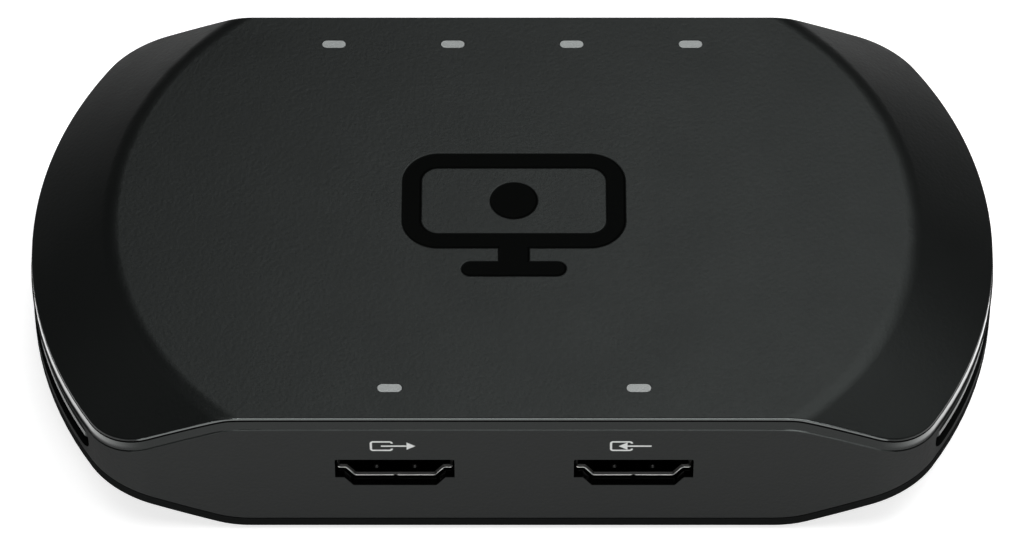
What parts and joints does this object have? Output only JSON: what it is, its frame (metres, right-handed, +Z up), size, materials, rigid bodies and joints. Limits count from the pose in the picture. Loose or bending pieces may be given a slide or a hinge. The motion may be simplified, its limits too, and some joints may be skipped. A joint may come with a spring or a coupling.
{
  "type": "video capture box",
  "caption": "Flat barrel-shaped box with sloping sides, twin video sockets in front, data, power and audio sockets behind, side vents, light pipes and rubber feet.",
  "frame": {"origin": "on the surface that the feet stand on, under the middle of the box", "axes": "+X to the right along the long side, +Y to the rear, +Z up; the video sockets face -Y"},
  "size_m": [0.1298, 0.0702, 0.0238],
  "materials": {
    "cover_plastic": "fine satin texture",
    "frame_plastic": "fine satin texture",
    "base_plastic": "fine satin texture",
    "louvre_plastic": "satin",
    "light_guide": "frosted, polished end",
    "plated_sheet": "nickel plated",
    "insulator_plastic": "moulded",
    "contact_gold": "gold plated",
    "board_laminate": "solder mask",
    "chip_epoxy": "moulded epoxy",
    "coil_ferrite": "pressed powder",
    "capacitor_can": "satin",
    "sink_aluminium": "anodised",
    "pad_silicone": "soft matte",
    "screw_steel": "black zinc",
    "foot_rubber": "matte",
    "lamp_body": "clear resin over phosphor"
  },
  "bodies": {
    "root": {"audio_in_jack": "insulator_plastic", "audio_in_leaves": "contact_gold", "audio_out_jack": "insulator_plastic", "audio_out_leaves": "contact_gold", "base_cover": "base_plastic", "board_screws": "screw_steel", "capacitors": "capacitor_can", "case_screws": "screw_steel", "clock_crystal": "plated_sheet", "front_left_foot": "foot_rubber", "front_left_lamp": "lamp_body", "front_left_light_pipe": "light_guide", "front_right_foot": "foot_rubber", "front_right_lamp": "lamp_body", "front_right_light_pipe": "light_guide", "hdmi_in_contacts": "contact_gold", "hdmi_in_insulator": "insulator_plastic", "hdmi_in_shell": "plated_sheet", "hdmi_out_contacts": "contact_gold", "hdmi_out_insulator": "insulator_plastic", "hdmi_out_shell": "plated_sheet", "heat_sink": "sink_aluminium", "left_memory_chip": "chip_epoxy", "left_power_coil": "coil_ferrite", "left_side_louvre": "louvre_plastic", "left_video_driver_chip": "chip_epoxy", "main_board": "board_laminate", "mid_frame": "frame_plastic", "rear_far_left_lamp": "lamp_body", "rear_far_left_light_pipe": "light_guide", "rear_far_right_lamp": "lamp_body", "rear_far_right_light_pipe": "light_guide", "rear_left_foot": "foot_rubber", "rear_left_lamp": "lamp_body", "rear_left_light_pipe": "light_guide", "rear_right_foot": "foot_rubber", "rear_right_lamp": "lamp_body", "rear_right_light_pipe": "light_guide", "right_memory_chip": "chip_epoxy", "right_power_coil": "coil_ferrite", "right_side_louvre": "louvre_plastic", "right_video_driver_chip": "chip_epoxy", "thermal_pad": "pad_silicone", "top_cover": "cover_plastic", "usb_bridge_chip": "chip_epoxy", "usb_data_insulator": "insulator_plastic", "usb_data_shell": "plated_sheet", "usb_power_insulator": "insulator_plastic", "usb_power_shell": "plated_sheet", "video_processor": "chip_epoxy"}
  },
  "joints": []
}
